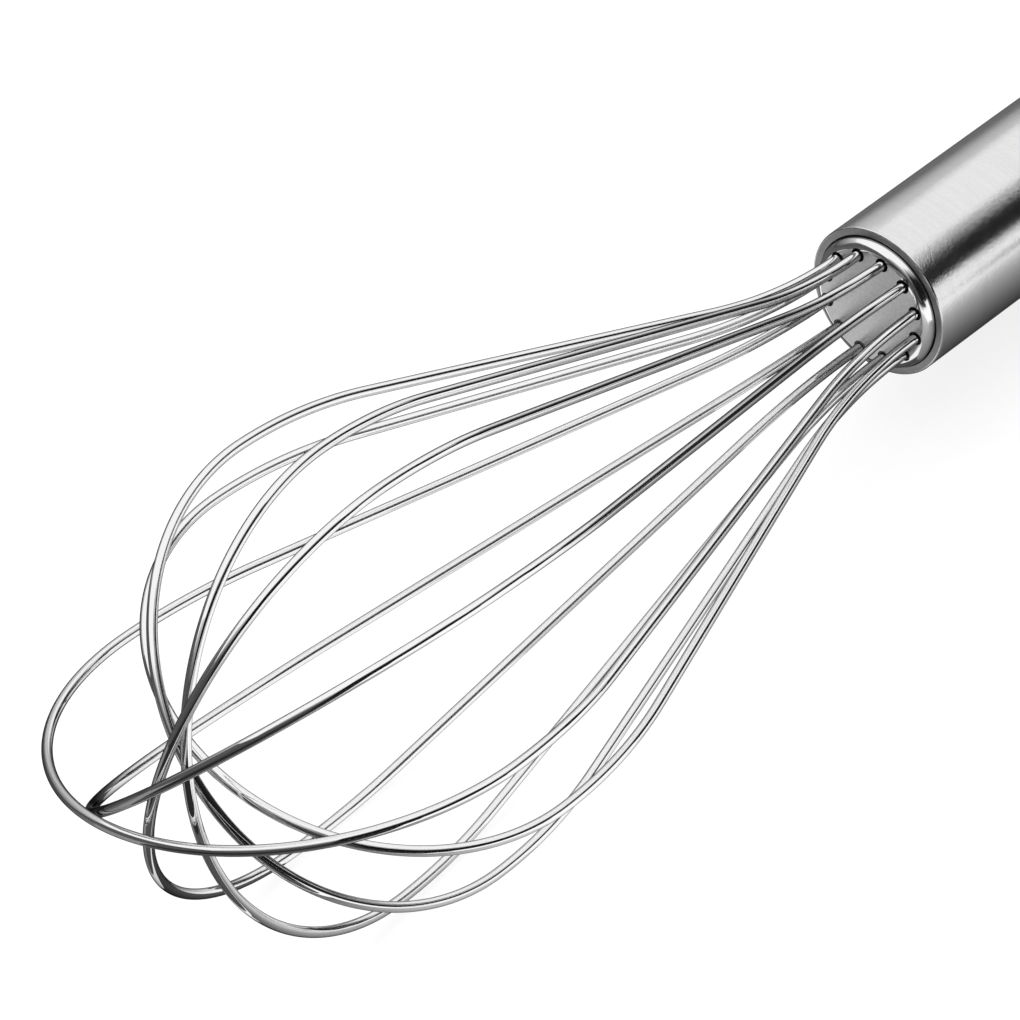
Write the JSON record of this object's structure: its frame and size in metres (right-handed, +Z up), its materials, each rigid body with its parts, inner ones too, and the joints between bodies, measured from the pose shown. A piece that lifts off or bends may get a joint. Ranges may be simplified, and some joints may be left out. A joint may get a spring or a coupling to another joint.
{
  "type": "balloon whisk",
  "caption": "Balloon whisk with looped steel wires nested in a round cage, a straight round brushed steel handle and a hanging ring that swings in an eye at its rear end.",
  "frame": {"origin": "middle of the bounding box, on the table the whisk lies on", "axes": "+X along the whisk from its nose towards the hanging ring, +Z up from the table, +Y to the left when looking along +X"},
  "size_m": [0.3049, 0.0766, 0.0734],
  "materials": {
    "handle_steel": "satin, brushed around the handle",
    "plug_steel": "satin face with a polished edge",
    "wire_steel": "polished",
    "ring_steel": "polished",
    "seal": "matte",
    "resin": "cast",
    "dam": "matte"
  },
  "bodies": {
    "whisk": {"handle_tube": "handle_steel", "front_plug": "plug_steel", "wire_loop_1": "wire_steel", "wire_loop_2": "wire_steel", "wire_loop_3": "wire_steel", "wire_loop_4": "wire_steel", "wire_loop_5": "wire_steel", "wire_loop_6": "wire_steel", "wire_seal_01": "seal", "wire_seal_02": "seal", "wire_seal_03": "seal", "wire_seal_04": "seal", "wire_seal_05": "seal", "wire_seal_06": "seal", "wire_seal_07": "seal", "wire_seal_08": "seal", "wire_seal_09": "seal", "wire_seal_10": "seal", "wire_seal_11": "seal", "wire_seal_12": "seal", "potting_resin": "resin", "resin_dam": "dam", "rear_cap": "handle_steel", "hanger_eye": "ring_steel"},
    "ring": {"hanging_ring": "ring_steel"}
  },
  "joints": [
    {"name": "ring_swing", "type": "hinge", "parent": "whisk", "child": "ring", "pos_m": [0.13696, 0.00061, 0.01179], "axis": [0, 1, 0], "range_deg": [-130, 65]}
  ]
}
